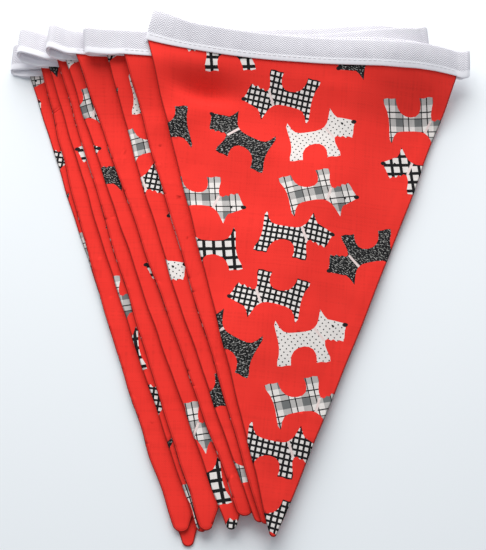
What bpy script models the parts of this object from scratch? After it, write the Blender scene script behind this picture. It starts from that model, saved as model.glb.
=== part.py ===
"""A string of nine cotton flags on a white folded tape, laid back and forth in a fanned pile.

The pile lies on the floor plane, with +Y towards the tape and +Z up. Each flag is a slab and the tape is one
folded strip, and every piece takes its height from the layers below it. Sizes are in millimetres, and the
meshes are made in metres.
"""

import math
from collections import namedtuple

import bmesh
import bpy
import numpy as np

MM = 0.001
LEFT, RIGHT = -1, 1

# One flag, sewn from two plies and turned
FLAG_WIDTH = 169.5
CORNER = FLAG_WIDTH / 2
FLAG_THICK = 1.0
RISE_START = 10.0  # a raised end of the top edge starts to rise this far from its middle
TONGUE_DEPTH = 7.0
TONGUE_THICK = 0.3
TONGUE_ENDS = 1.0
TONGUE_BLEND = 12.0

# The tape, folded lengthwise over the flags' tongues
TAPE_WIDTH = 14.0
TAPE_PLY = 0.6
TAPE_SLOT = 1.3
CLOSED_SLOT = 0.3
SLOT_CLOSES_OVER = 8.0
CLEAR = 0.5
FIRST_END_PAST_FLAG = 4.0
LAST_END_PAST_FLAG = 1.0

# What each layer adds to the height of those above it, and how softly they come down past its edges
FLAG_LAYER = 1.85
TAPE_LAYER = 3.15
FLAG_FALL = 46.0
TAPE_FALL = 42.0
TURN_RADIUS = 9.0
TURN_FALL = 36.0
TURN_BULGE = 6.0
PILE_CENTRE = np.array((-2.38, 0.17))

# Flags from the lowest to the top one: the middle of the top edge, the turn in degrees, how far the side
# edges bow to the left, the drop from tape to tip, the radius of the tip, and how far each end of the top
# edge rises above its middle
Flag = namedtuple("Flag", "across up turn bow drop tip rise_left rise_right")
FLAGS = (
    Flag(-34.8, 120.5, 1.8, 1.0, 261.0, 3.4, 0.0, 0.0),
    Flag(-28.0, 120.3, -0.4, 3.8, 254.0, 4.4, 0.0, 0.0),
    Flag(-23.0, 120.6, 0.7, 1.8, 254.5, 2.8, 0.0, 0.0),
    Flag(-17.8, 120.1, 0.0, 0.6, 253.5, 3.6, 1.0, 0.0),
    Flag(-12.8, 122.4, 1.6, 1.4, 255.5, 2.8, 0.0, 0.0),
    Flag(-6.6, 123.7, 1.7, 0.1, 250.5, 4.2, 0.0, 0.0),
    Flag(10.5, 119.3, -0.6, 3.4, 249.0, 2.8, 0.0, 5.0),
    Flag(20.2, 115.2, -2.2, 0.4, 246.0, 3.0, 0.0, 0.0),
    Flag(32.3, 112.8, -4.1, -0.9, 250.3, 2.0, 7.0, 3.2),
)

# Where the tape turns back, from the lowest turn up, the first on the left: the end of its lower edge, how
# far the springy turn stands open, and how far the level above ends past the one below, away from the flags
Turn = namedtuple("Turn", "across up plump skew")
TURNS = (
    Turn(-129.6, 120.5, 2.6, 2.0),
    Turn(77.0, 121.0, 1.2, 0.0),
    Turn(-124.5, 124.5, 3.4, 2.6),
    Turn(86.0, 124.0, 1.2, 0.0),
    Turn(-108.2, 123.5, 2.8, 2.4),
    Turn(104.0, 126.5, 1.2, 0.0),
    Turn(-84.3, 120.4, 1.8, 0.6),
    Turn(125.5, 113.8, 1.6, -1.6),
)

# Rows and columns of the meshes. The tape's sections along a flag stand on the flag's own columns
FLAG_COLUMNS = (0.0, 0.1, 0.23, 0.4, 0.56, 0.7, 0.81, 0.91, 1.0)
FLAG_ROWS = (-TONGUE_DEPTH, 0.0, 1.0, 7.0, 13.0, 19.0, 26.0, 34.0, 44.0, 55.0, 67.0, 80.0, 94.0, 109.0, 125.0,
             143.0, 163.0, 184.0, 206.0, 229.0)
TIP_ANGLES = (40.0, 65.0, 80.0)
REACH_STATIONS = (1.0, 0.65, 0.3)
TURN_ANGLES = (35.0, 70.0, 110.0, 145.0)
SLOPE_STEP = 0.5
FOLD_STARTS = 12.8
SLOT_ENDS = (12.0, 12.6)

RED = (0.78, 0.045, 0.03, 1.0)
WHITE = (0.82, 0.82, 0.86, 1.0)
COTTON_ROUGHNESS = 0.9
SMOOTH_ANGLE = math.radians(40)


def fall_off(distance, length):
    """One inside an edge, easing to nothing at the given length past it."""
    t = np.clip(distance / length, 0.0, 1.0)
    return 1.0 - t * t * (3.0 - 2.0 * t)


def unit(vector):
    return vector / np.linalg.norm(vector)


def to_world(flag, points):
    """Plan points of the pile from a flag's own frame: X along its top edge, and the tip at minus Y."""
    turn = math.radians(flag.turn)
    x = points[..., 0] * math.cos(turn) - points[..., 1] * math.sin(turn)
    y = points[..., 0] * math.sin(turn) + points[..., 1] * math.cos(turn)
    return np.stack((x + flag.across, y + flag.up), axis=-1) - PILE_CENTRE


def to_local(flag, points):
    """The inverse of to_world."""
    turn = math.radians(flag.turn)
    offset = points + PILE_CENTRE - np.array((flag.across, flag.up))
    x = offset[..., 0] * math.cos(turn) + offset[..., 1] * math.sin(turn)
    y = offset[..., 1] * math.cos(turn) - offset[..., 0] * math.sin(turn)
    return np.stack((x, y), axis=-1)


def turn_at(level, side):
    """The index of the turn that ends a level's tape on one side, or None at the tape's two free ends."""
    opens_here = (level % 2 == 0) == (side == LEFT)
    index = level if opens_here else level - 1
    return index if 0 <= index < len(TURNS) else None


def tape_end(level, side):
    """The end of the tape's lower edge on one side of a level, in its flag's own frame."""
    flag = FLAGS[level]
    index = turn_at(level, side)
    if index is not None:
        turn = TURNS[index]
        skew = turn.skew / 2 if level > index else -turn.skew / 2
        return to_local(flag, np.array((turn.across, turn.up + skew)) - PILE_CENTRE)
    past = FIRST_END_PAST_FLAG if level == 0 else LAST_END_PAST_FLAG
    rise = flag.rise_left if side == LEFT else flag.rise_right
    return np.array((side * (CORNER + past), rise + past * 2 * rise / (CORNER - RISE_START)))


def tape_edge(level, across):
    """How high the tape's lower edge runs at places across a level, past the flag's corners too."""
    flag = FLAGS[level]
    height = np.zeros_like(across)
    for side, rise in ((LEFT, flag.rise_left), (RIGHT, flag.rise_right)):
        out = side * across
        share = np.clip((out - RISE_START) / (CORNER - RISE_START), 0.0, 1.0)
        slope = 2 * rise / (CORNER - RISE_START)
        end = tape_end(level, side)
        reach = side * end[0] - CORNER
        bend = (end[1] - rise - slope * reach) / (0.75 * reach)
        past = np.clip(out - CORNER, 0.0, None)
        eased = np.where(past < reach / 2, past ** 2 / reach, past - reach / 4)
        height += rise * share ** 2 + slope * past + bend * eased
    return height


def edge_angle(flag):
    """How far the flag's side edges lean in, so that they run into the round tip."""
    to_tip = flag.drop - flag.tip
    return math.atan2(CORNER, to_tip) - math.asin(flag.tip / math.hypot(CORNER, to_tip))


def layer_height(level, points):
    """What one level's flag and tape add to the height of the layers above it."""
    flag = FLAGS[level]
    place = to_local(flag, points)
    edge = tape_edge(level, place[..., 0])
    down = (edge - place[..., 1]) / (1 + edge / flag.drop)
    aside = np.abs(place[..., 0] + flag.bow * np.sin(np.pi * np.clip(down / flag.drop, 0.0, 1.0)))
    lean = edge_angle(flag)
    past_side = (aside - CORNER) * math.cos(lean) + np.clip(down, 0.0, None) * math.sin(lean)
    past_flag = np.maximum.reduce((past_side, down - flag.drop, -down - TONGUE_DEPTH))
    past_ends = [side * (place[..., 0] - tape_end(level, side)[0]) - TURN_BULGE for side in (LEFT, RIGHT)]
    past_band = np.abs(edge - place[..., 1] + TAPE_WIDTH / 2) - TAPE_WIDTH / 2
    past_tape = np.maximum.reduce((past_band, *past_ends))
    low = FLAG_LAYER * fall_off(past_flag, FLAG_FALL)
    return low + (TAPE_LAYER - low) * fall_off(past_tape, TAPE_FALL)


def turn_height(index, points):
    """What a springy turn of the tape adds to the height of the layers above it."""
    turn = TURNS[index]
    middle = np.array((turn.across, turn.up + TAPE_WIDTH / 2)) - PILE_CENTRE
    distance = np.linalg.norm(points - middle, axis=-1) - TURN_RADIUS
    return turn.plump * fall_off(distance, TURN_FALL)


def base_height(level, points):
    """The underside of a level at plan points: all that lies below it there."""
    height = np.zeros(points.shape[:-1])
    for below in range(level):
        height += layer_height(below, points) + turn_height(below, points)
    return height


def tape_direction(level, across):
    """The plan direction in which the tape's lower edge runs to the right, at one place across a level."""
    ends = [np.array((x, tape_edge(level, np.array(x)))) for x in (across - SLOPE_STEP, across + SLOPE_STEP)]
    flag = FLAGS[level]
    return unit(to_world(flag, ends[1]) - to_world(flag, ends[0]))


def across_tape(direction):
    """The direction over the tape's width, away from the flags."""
    width = np.array((-direction[1], direction[0]))
    return width if width[1] > 0 else -width


def flag_plan(level):
    """The grid of a flag's plan points, in rows from tongue to tip, and how far each row is down the flag."""
    flag = FLAGS[level]
    lean = edge_angle(flag)
    centre = flag.drop - flag.tip
    rows = [(down, CORNER - max(down, 0.0) * math.tan(lean)) for down in FLAG_ROWS]
    for angle in (lean, *map(math.radians, TIP_ANGLES)):
        rows.append((centre + flag.tip * math.sin(angle), flag.tip * math.cos(angle)))
    down, half_width = np.array(rows).T[..., None]
    bow = flag.bow * np.sin(np.pi * np.clip(down / flag.drop, 0.0, 1.0))
    across = half_width * (2 * np.array(FLAG_COLUMNS) - 1) - bow
    edge = tape_edge(level, across)
    up = edge * (1 - np.clip(down / flag.drop, 0.0, 1.0)) - np.clip(down, 0.0, None)
    plan = to_world(flag, np.stack((across, up), axis=-1))
    tucked = np.clip(-down, 0.0, None)[..., None]
    widths = np.array([across_tape(tape_direction(level, place)) for place in across[0]])
    return plan + tucked * widths, down


def new_object(name, vertices, quads, colour):
    """An object with its own cotton material, from points in millimetres. Each quad makes two triangles."""
    bm = bmesh.new()
    made = [bm.verts.new(point) for point in vertices * MM]
    for a, b, c, d in quads:
        bm.faces.new((made[a], made[b], made[c]))
        bm.faces.new((made[a], made[c], made[d]))
    bmesh.ops.recalc_face_normals(bm, faces=bm.faces)
    mesh = bpy.data.meshes.new(name)
    bm.to_mesh(mesh)
    bm.free()
    mesh.shade_smooth()
    mesh.set_sharp_from_angle(angle=SMOOTH_ANGLE)
    material = bpy.data.materials.new(name + "_cotton")
    material.use_nodes = True
    shader = material.node_tree.nodes["Principled BSDF"]
    shader.inputs["Base Color"].default_value = colour
    shader.inputs["Roughness"].default_value = COTTON_ROUGHNESS
    material.diffuse_color = colour
    mesh.materials.append(material)
    piece = bpy.data.objects.new(name, mesh)
    bpy.context.collection.objects.link(piece)
    return piece


def make_flag(level):
    """One flag as a closed slab on the layers below it, thinned to a tongue inside the tape."""
    plan, down = flag_plan(level)
    tongue = fall_off(down - TONGUE_ENDS, TONGUE_BLEND)
    under = base_height(level, plan) + tongue * (TAPE_PLY + CLEAR)
    over = under + FLAG_THICK + tongue * (TONGUE_THICK - FLAG_THICK)
    rows, columns = plan.shape[:2]
    vertices = np.concatenate([np.dstack((plan, height)).reshape(-1, 3) for height in (under, over)])
    index = np.arange(rows * columns).reshape(rows, columns)
    quads = []
    for r in range(rows - 1):
        for c in range(columns - 1):
            quad = np.array((index[r, c], index[r, c + 1], index[r + 1, c + 1], index[r + 1, c]))
            quads += [quad, quad[[0, 3, 2, 1]] + rows * columns]
    rim = [*index[0, :-1], *index[:-1, -1], *index[-1, :0:-1], *index[:0:-1, 0]]
    for i, j in zip(rim, rim[1:] + rim[:1]):
        quads.append((j, i, i + rows * columns, j + rows * columns))
    return new_object(f"flag_{level + 1}", vertices, quads, RED)


def tape_section(slot):
    """The folded tape's section as pairs of width and height: round its outside, then back along its slot."""
    thick = 2 * TAPE_PLY + slot
    outer = [(0.0, 0.0), (TONGUE_DEPTH, 0.0), (FOLD_STARTS, 0.0)]
    inner = [(0.0, TAPE_PLY), (TONGUE_DEPTH, TAPE_PLY), (SLOT_ENDS[0], TAPE_PLY)]
    outer += [(TAPE_WIDTH, thick / 2)] + [(width, thick) for width, _ in reversed(outer)]
    inner += [(SLOT_ENDS[1], thick / 2)] + [(width, thick - TAPE_PLY) for width, _ in reversed(inner)]
    return np.array(outer + inner[::-1]), thick


def turn_direction(index, side):
    """The plan direction in which both levels' tape runs out into a turn."""
    total = sum(tape_direction(level, tape_end(level, side)[0] - side) for level in (index, index + 1))
    return unit(total) * side


def tape_stations(level):
    """Places across a level from its left end to its right one, each with its share of the way to a turn."""
    stations = [(CORNER * (2 * share - 1), 0.0, LEFT) for share in FLAG_COLUMNS]
    for side in (LEFT, RIGHT):
        end = tape_end(level, side)[0]
        steps = REACH_STATIONS if turn_at(level, side) is not None else (1.0,)
        stations += [(side * CORNER + step * (end - side * CORNER), step, side) for step in steps]
    return sorted(stations)


def level_rows(level):
    """The tape's sections along one level, in the order in which the tape runs."""
    flag = FLAGS[level]
    rows = []
    for across, step, side in tape_stations(level):
        past = abs(across) - CORNER - LAST_END_PAST_FLAG
        closing = fall_off(past, SLOT_CLOSES_OVER) if turn_at(level, side) is not None else 1.0
        section, thick = tape_section(CLOSED_SLOT + (TAPE_SLOT - CLOSED_SLOT) * closing)
        width = across_tape(tape_direction(level, across))
        if turn_at(level, side) is not None:
            width = unit(width * (1 - step) + across_tape(turn_direction(turn_at(level, side), side)) * step)
        edge = to_world(flag, np.array((across, tape_edge(level, np.array(across)))))
        plan = edge + section[:, :1] * width
        height = section[:, 1] if level % 2 == 0 else thick - section[:, 1]
        rows.append(np.column_stack((plan, base_height(level, plan) + height)))
    return rows if level % 2 else rows[::-1]


def turn_rows(index, before, after):
    """The tape's sections round a turn, between the last one of a level and the first one of the next."""
    side = LEFT if index % 2 == 0 else RIGHT
    out = turn_direction(index, side)
    centre = (before[:, 2] + after[:, 2]) / 2
    radius = centre - before[:, 2]
    rows = []
    for angle in map(math.radians, TURN_ANGLES):
        share = (1 - math.cos(angle)) / 2
        plan = before[:, :2] * (1 - share) + after[:, :2] * share + out * (radius * math.sin(angle))[:, None]
        rows.append(np.column_stack((plan, centre - radius * math.cos(angle))))
    return rows


def make_tape():
    """The whole tape as one closed strip, from its lowest end to the top one."""
    rows = []
    to_right = []
    for level in range(len(FLAGS)):
        following = level_rows(level)
        if level > 0:
            rows += turn_rows(level - 1, rows[-1], following[0])
        rows += following
        to_right += [level % 2 == 1] * (len(rows) - len(to_right))
    widths = tape_section(TAPE_SLOT)[0][:, 0]
    around = len(widths)
    quads = []
    for r in range(len(rows) - 1):
        for i in range(around):
            j = (i + 1) % around
            quad = (r * around + i, r * around + j, (r + 1) * around + j, (r + 1) * around + i)
            cut_like_flags = (widths[j] < widths[i]) == to_right[r]
            quads.append(quad if cut_like_flags else quad[1:] + quad[:1])
    for first in (0, (len(rows) - 1) * around):
        for i in range(around // 2 - 1):
            quads.append((first + i, first + i + 1, first + around - 2 - i, first + around - 1 - i))
    return new_object("tape", np.concatenate(rows), quads, WHITE)


def main():
    for old in list(bpy.data.objects):
        bpy.data.objects.remove(old, do_unlink=True)
    for level in range(len(FLAGS)):
        make_flag(level)
    make_tape()


main()
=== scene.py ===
"""A string of nine printed cotton flags on a white herringbone tape, laid back and forth in a fanned pile."""

import math
from collections import namedtuple

import bpy
import numpy as np
from mathutils.geometry import delaunay_2d_cdt
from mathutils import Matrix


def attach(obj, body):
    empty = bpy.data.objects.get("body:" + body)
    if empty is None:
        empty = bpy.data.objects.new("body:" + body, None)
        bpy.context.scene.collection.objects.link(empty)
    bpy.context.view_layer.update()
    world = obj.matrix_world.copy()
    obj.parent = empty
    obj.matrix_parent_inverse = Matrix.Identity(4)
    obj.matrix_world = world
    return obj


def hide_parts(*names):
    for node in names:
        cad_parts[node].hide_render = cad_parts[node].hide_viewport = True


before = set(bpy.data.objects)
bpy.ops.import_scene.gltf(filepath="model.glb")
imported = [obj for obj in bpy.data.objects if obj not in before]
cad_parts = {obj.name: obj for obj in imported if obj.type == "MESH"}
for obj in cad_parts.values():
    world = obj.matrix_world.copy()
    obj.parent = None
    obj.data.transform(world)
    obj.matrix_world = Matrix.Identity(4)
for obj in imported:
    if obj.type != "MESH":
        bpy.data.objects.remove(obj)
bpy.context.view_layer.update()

MM = 0.001
LEFT, RIGHT = -1, 1

# Sizes in millimetres, shared with the solids

FLAG_WIDTH = 169.5
CORNER = FLAG_WIDTH / 2
RISE_START = 10.0
TONGUE_DEPTH = 7.0
TONGUE_THICK = 0.3
TONGUE_ENDS = 1.0
TONGUE_BLEND = 12.0
TAPE_WIDTH = 14.0
TAPE_PLY = 0.6
TAPE_SLOT = 1.3
CLOSED_SLOT = 0.3
SLOT_CLOSES_OVER = 8.0
CLEAR = 0.5
FIRST_END_PAST_FLAG = 4.0
LAST_END_PAST_FLAG = 1.0
FLAG_LAYER = 1.85
TAPE_LAYER = 3.15
FLAG_FALL = 46.0
TAPE_FALL = 42.0
TURN_RADIUS = 9.0
TURN_FALL = 36.0
TURN_BULGE = 6.0
PILE_CENTRE = np.array((-2.38, 0.17))
EASED_SHARE = 0.75       # of the reach past a flag, how far the eased bend of the edge comes


# Flags from the lowest to the top one: the middle of the top edge, the turn in degrees, how far the side
# edges bow to the left, the drop from tape to tip, the radius of the tip, and how far each end of the top
# edge rises above its middle
Flag = namedtuple("Flag", "across up turn bow drop tip rise_left rise_right")
FLAGS = (
    Flag(-34.8, 120.5, 1.8, 1.0, 261.0, 3.4, 0.0, 0.0),
    Flag(-28.0, 120.3, -0.4, 3.8, 254.0, 4.4, 0.0, 0.0),
    Flag(-23.0, 120.6, 0.7, 1.8, 254.5, 2.8, 0.0, 0.0),
    Flag(-17.8, 120.1, 0.0, 0.6, 253.5, 3.6, 1.0, 0.0),
    Flag(-12.8, 122.4, 1.6, 1.4, 255.5, 2.8, 0.0, 0.0),
    Flag(-6.6, 123.7, 1.7, 0.1, 250.5, 4.2, 0.0, 0.0),
    Flag(10.5, 119.3, -0.6, 3.4, 249.0, 2.8, 0.0, 5.0),
    Flag(20.2, 115.2, -2.2, 0.4, 246.0, 3.0, 0.0, 0.0),
    Flag(32.3, 112.8, -4.1, -0.9, 250.3, 2.0, 7.0, 3.2),
)

# Where the tape turns back, from the lowest turn up, the first on the left: the end of its lower edge, how
# far the springy turn stands open, and how far the level above ends past the one below, away from the flags
Turn = namedtuple("Turn", "across up plump skew")
TURNS = (
    Turn(-129.6, 120.5, 2.6, 2.0),
    Turn(77.0, 121.0, 1.2, 0.0),
    Turn(-124.5, 124.5, 3.4, 2.6),
    Turn(86.0, 124.0, 1.2, 0.0),
    Turn(-108.2, 123.5, 2.8, 2.4),
    Turn(104.0, 126.5, 1.2, 0.0),
    Turn(-84.3, 120.4, 1.8, 0.6),
    Turn(125.5, 113.8, 1.6, -1.6),
)

# Sizes of the cloth itself, in millimetres

TOP = len(FLAGS) - 1
MIDDLE_THICK = 0.75      # two plies of cotton
SEAM_THICK = 1.2         # four plies, where the allowances lie inside
SEAM_WIDTH = 5.5
SEAM_BLEND = 2.5
EDGE_ROUND = 0.65
EDGE_RINGS = (0.22, 0.65, 0.95, 1.35, 2.4, 3.8, 5.5, 8.0)
EDGE_STEP = 1.9
TOP_STEP = 1.7
UNDER_STEP = 2.8
TIP_STEPS = 9
EDGE_WAVER = 0.28
SEAM_ROLL = 0.25         # how far the printed ply rolls over onto the plain one
SEAM_LINE = 1.0          # where the seam shows on the plain ply
SEAM_LINE_WIDTH = 0.3
SEAM_LINE_DEPTH = 0.2
EDGE_PAINTED_SHADE = 0.34        # painted shade at the flag's very edge, standing in for the shadow between the layers: the share of colour kept there
EDGE_PAINTED_SHADE_WIDTH = 1.0
# painted shade in the seam line's groove on the plain ply, as a share taken off the colour
SEAM_LINE_SHADE = 0.3
LOOSE_ON_TOP = 0.6
LOOSE_BELOW = 0.08
LEAST_LIFT = -0.2        # how far the unevenness may press a flag down
LOWEST = 0.05            # of the first flag, over the floor
SLOPE_STEP = 0.5
ON_LINE = 0.01           # closer than this to the outline, or to the middle line, is on it

# Uneven lines and fields: how many waves they add up, the shortest and the longest wave, and the seeds
WAVES = 7
EDGE_WAVES = (22.0, 90.0)
EDGE_WAVER_GROWS = 20.0  # from none at the tape to all of it this far down
EDGE_SEEDS = 40
SOFT_WAVES = (28.0, 80.0)
SOFT_SEED = 7
FINE_WAVES = (9.0, 24.0)
FINE_SHARE = 0.2
FINE_SEED = 70
PUCKER_WAVES = (5.0, 13.0)
PUCKER_HEIGHT = 0.07
PUCKER_WIDTH = 9.0
PUCKER_SEED = 300

# The net of triangles that a flag is cut into
ROW_SHARE = 0.87         # of a step, between rows of even triangles
CUT_INSIDE = 1           # keep what is inside the loops
CUT_TOLERANCE = 1e-4

# Soft rises and hollows that run up through the whole pile and are strongest on the top flag: the middle, how
# long and wide, the turn in degrees, and the rise
Puff = namedtuple("Puff", "across up long wide turn rise")
PUFFS = (
    Puff(-19.5, 100.2, 16.0, 6.8, -14.0, -8.0),
    Puff(-37.0, 82.5, 18.0, 7.5, 10.0, 2.2),
    Puff(22.0, 60.0, 34.0, 14.0, -20.0, 0.9),
    Puff(70.0, 70.0, 30.0, 16.0, 60.0, 1.0),
    Puff(10.0, -20.0, 45.0, 18.0, 75.0, 0.8),
    Puff(40.0, 10.0, 40.0, 16.0, 100.0, 0.7),
)

# Tape

PLY_STEPS = 12
FOLD_STEPS = 9
CAP_STEPS = 3
CROWN = 0.18
STATION_STEP = 2.6
END_STEP = 1.1
TURN_STEPS = 15
TAPE_STRIP = 2 * (TAPE_WIDTH - TAPE_PLY)
SPLAY = 0.3              # how much wider the free end on the top flag is pressed out
SPLAY_LENGTH = 24.0
LEAN = 0.2               # how far the fold stands above the sewn edge along the top flag
LEAN_AT_END = 4.2        # and by how much more at the free end
LEAN_LENGTH = 150.0
LEAN_BEHIND = 1.4        # and along the flag under it
LEAN_ASIDE = 2.7         # and at the right end of the one below that, where nothing covers it
LEAN_ASIDE_FROM = 45.0

# How the tape is pushed at the ends of some levels: up over the flag from a place across it, then up and
# lifted on its way into the turn
Push = namedtuple("Push", "starts over over_turn lift_turn")
PUSHES = {
    (TOP - 1, LEFT): Push(CORNER, 0.0, -1.8, 0.0),
    (TOP - 2, RIGHT): Push(45.0, -1.4, -0.4, 0.0),
    (TOP, RIGHT): Push(35.0, 1.1, -2.2, 2.0),
}

# How the tape's open edge and its fold are drawn in at each turn, and how far the upper open edge hangs down
Pull = namedtuple("Pull", "edge fold droop")
PULLS = (
    Pull(1.2, 1.8, 3.2),
    Pull(0.0, 0.0, 0.0),
    Pull(3.2, 0.0, 0.0),
    Pull(0.0, 0.0, 0.0),
    Pull(4.0, 0.8, 0.0),
    Pull(4.2, 3.6, 0.0),
    Pull(1.6, 0.0, 0.0),
    Pull(4.3, -1.0, 0.0),
)

# Stitches

STITCH_LENGTH = 2.2
STITCH_PITCH = 2.7
STITCH_THREAD = 0.19     # radius
STITCH_SUNK = 0.12
STITCH_UNEVEN = 0.12
STITCH_UP = 2.0          # from the tape's woven edge
STITCH_SIDES = 8
STITCH_RINGS = 6
SEWN_INSIDE = 1.5        # from the flag's corners
SEWN_STEP = 2.0
STITCH_SEED = 23
STITCH_INPUTS = (
    ("Pitch", "Float", STITCH_PITCH * MM),
    ("Length", "Float", STITCH_LENGTH * MM),
    ("Thread Radius", "Float", STITCH_THREAD * MM),
    ("Unevenness", "Float", STITCH_UNEVEN),
    ("Sides", "Int", STITCH_SIDES),
    ("Rings", "Int", STITCH_RINGS),
    ("Seed", "Int", STITCH_SEED),
)

# The printed terriers, charted in millimetres, looking left with their feet down

TERRIER = (
    (-19.4, 6.8), (-16.2, 8.0), (-13.0, 9.2), (-11.2, 9.7), (-9.8, 11.6), (-8.2, 15.2), (-7.2, 12.4),
    (-6.2, 9.8), (-5.2, 7.9), (-3.4, 6.0), (-1.0, 4.9), (2.6, 4.5), (6.6, 4.5), (10.2, 4.7),
    (12.6, 5.6), (14.2, 7.6), (15.8, 11.6), (16.8, 9.4), (16.6, 5.6), (16.3, 1.8), (16.4, -2.2),
    (17.2, -6.0), (18.6, -9.2), (18.9, -11.4), (16.6, -11.9), (14.4, -11.6), (12.0, -11.8), (11.7, -9.6),
    (10.9, -7.0), (9.2, -4.8), (6.8, -3.4), (4.0, -2.9), (1.2, -3.3), (-0.8, -4.8), (-1.7, -7.0),
    (-1.8, -9.4), (-1.4, -11.8), (-3.8, -11.5), (-6.2, -12.0), (-8.6, -11.6), (-8.8, -9.4), (-7.9, -6.6),
    (-7.3, -3.6), (-7.6, -1.0), (-9.2, -0.2), (-10.8, -1.2), (-12.2, -0.7), (-13.6, -2.0), (-15.2, -1.4),
    (-17.0, -2.4), (-18.0, -0.4), (-18.6, 2.2), (-19.6, 4.6),
)
COLLAR = ((-3.9, 6.5), (-2.8, 5.6), (-6.7, -1.2), (-7.7, -0.4))

# The middle, and half the length and the height
NOSE = (-19.6, 6.0, 1.5, 1.1)
EYE = (-13.2, 5.9, 0.62, 0.62)

DOT_SIDES = 12
LEAST_ON_FLAG = 0.3      # a terrier that reaches less far onto a flag is left out

# One repeat of the print, in the cloth's own plan: where each terrier stands, its turn, and the way it looks
Printed = namedtuple("Printed", "across down turn faces fill")
REPEAT_ACROSS, REPEAT_DOWN = 112.0, 112.0
REPEAT_COLUMNS = range(-3, 3)
REPEAT_ROWS = range(-4, 6)
REPEAT = (
    Printed(100.6, 72.9, -8.0, LEFT, "gingham"),
    Printed(98.8, 43.9, 172.0, LEFT, "plaid"),
    Printed(2.6, 65.1, 23.0, LEFT, "tweed"),
    Printed(23.7, 37.9, 189.0, RIGHT, "small_check"),
    Printed(45.6, 59.6, -14.0, RIGHT, "pin_dot"),
    Printed(70.6, 10.4, 163.0, RIGHT, "tweed"),
    Printed(33.9, 5.5, 7.0, RIGHT, "small_check"),
    Printed(45.7, 91.1, 163.0, LEFT, "plaid"),
)

# Where the repeat starts on each flag, from the lowest to the top one
Offset = namedtuple("Offset", "across down")
PRINT_OFFSETS = (
    Offset(30.0, 67.0),
    Offset(40.0, 20.0),
    Offset(77.0, 91.0),
    Offset(15.0, 50.0),
    Offset(104.0, 49.0),
    Offset(60.0, 10.0),
    Offset(13.0, 13.0),
    Offset(30.0, 90.0),
    Offset(78.0, 36.0),
)
FILLS = ("ground", "tweed", "small_check", "pin_dot", "gingham", "plaid", "black", "collar")

# Colours, as linear light

RED = (0.93, 0.046, 0.034, 1.0)
RED_SHADE = (0.84, 0.034, 0.026, 1.0)
PRINT_BLACK = (0.014, 0.014, 0.015, 1.0)
PRINT_SOOT = (0.02, 0.019, 0.02, 1.0)
PRINT_GREY = (0.17, 0.175, 0.175, 1.0)
PRINT_FLECK = (0.40, 0.39, 0.37, 1.0)
PRINT_WHITE = (0.84, 0.79, 0.76, 1.0)
COLLAR_PINK = (0.80, 0.56, 0.54, 1.0)
TAPE_WHITE = (0.93, 0.915, 0.965, 1.0)
# painted shade in the hollows between the tape's ribs
TAPE_HOLLOW_SHADE = (0.62, 0.595, 0.66, 1.0)
THREAD_WHITE = (0.88, 0.88, 0.90, 1.0)
THREAD_SHADE = (0.74, 0.74, 0.77, 1.0)
FLOOR_WHITE = (0.86, 0.893, 0.925, 1.0)
SHADE_BLACK = (0.0, 0.0, 0.0, 1.0)

# Finishes. Pitches, bars, lines and radii are in millimetres, depths of a bump in metres

MIX_SOCKETS = (0, 6, 7)  # of a colour mix: the share and the two colours
SPECULAR = 0.08
COTTON_ROUGHNESS, COTTON_SHEEN = 0.9, 0.03
TAPE_ROUGHNESS, TAPE_SHEEN = 0.8, 0.1
THREAD_ROUGHNESS, THREAD_SHEEN = 0.7, 0.1
FLOOR_ROUGHNESS = 0.7
THREAD_PITCH = 0.5
THREAD_TWIST = 2500.0
STREAK_STRETCH = 0.03    # a thread's streak is long one way
STREAK_SCALE = 0.9
STREAK_SHARE = 0.30
WEAVE_BUMP, WEAVE_DEPTH = 0.25, 0.0001
SEAM_LINE_CORE = 0.1
GROUND_SCALE = 0.05
GINGHAM_PITCH, GINGHAM_BAR = 5.0, 1.7
CHECK_PITCH, CHECK_BAR = 2.9, 1.15
PLAID_PITCH, PLAID_BAND = 10.5, 4.0
PLAID_LINES = ((5.25, 0.6), (2.2, 0.45))  # how far each is shifted, and its width
DOT_PITCH, DOT_RADIUS = 3.2, 0.36
TWEED_ALONG, TWEED_ASIDE = 0.5, 1.3
TWEED_SCALE = 1.1
TWEED_LEVELS = (0.57, 0.63)
SOOT_SCALE = 0.8
COLLAR_SCALE = 1.5
ZIGZAG_WIDTH, ZIGZAG_SLOPE = 2.4, 0.9
RIB_PITCH = 1.15
WOVEN_EDGE = (2.2, 3.2)  # the ribs begin over this way from the tape's edge
CLOUD_SCALE = 0.12
# How much painted shade lies in the hollows between the tape's ribs, and how far a cloud mottles it
HOLLOW_BY_RIB, HOLLOW_LEVEL = -0.40, 0.50
CLOUD_LEVEL = 0.45
RIB_BUMP, RIB_DEPTH = 0.6, 0.00025

# Floor, camera and light, in metres, with the lens and the film in millimetres and the power in watts

FLOOR_HALF = 2.0
FLOOR_LEVEL = -0.0002
CAMERA_AT = (0.00238, -0.20747, 0.5695)
CAMERA_TILT = math.radians(20.0)
LENS_LENGTH = 50.18
FILM_HEIGHT = 24.0
WINDOW_AT = (-0.10, 0.74, 0.60)
WINDOW_SIZE = 1.2
WINDOW_POWER = 13.3
WINDOW_COLOUR = (1.0, 0.99, 0.97)
ROOM_COLOUR = (0.90, 0.95, 1.0, 1.0)
ROOM_STRENGTH = 0.41


# Heights of the layers, as in the solids

def fall_off(distance, length):
    """One inside an edge, easing to nothing at the given length past it."""
    t = np.clip(distance / length, 0.0, 1.0)
    return 1.0 - t * t * (3.0 - 2.0 * t)


def unit(vectors):
    return vectors / np.linalg.norm(vectors, axis=-1, keepdims=True)


def to_world(flag, points):
    """Plan points of the pile from a flag's own frame: X along its top edge, and the tip at minus Y."""
    turn = math.radians(flag.turn)
    x = points[..., 0] * math.cos(turn) - points[..., 1] * math.sin(turn)
    y = points[..., 0] * math.sin(turn) + points[..., 1] * math.cos(turn)
    return np.stack((x + flag.across, y + flag.up), axis=-1) - PILE_CENTRE


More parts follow.
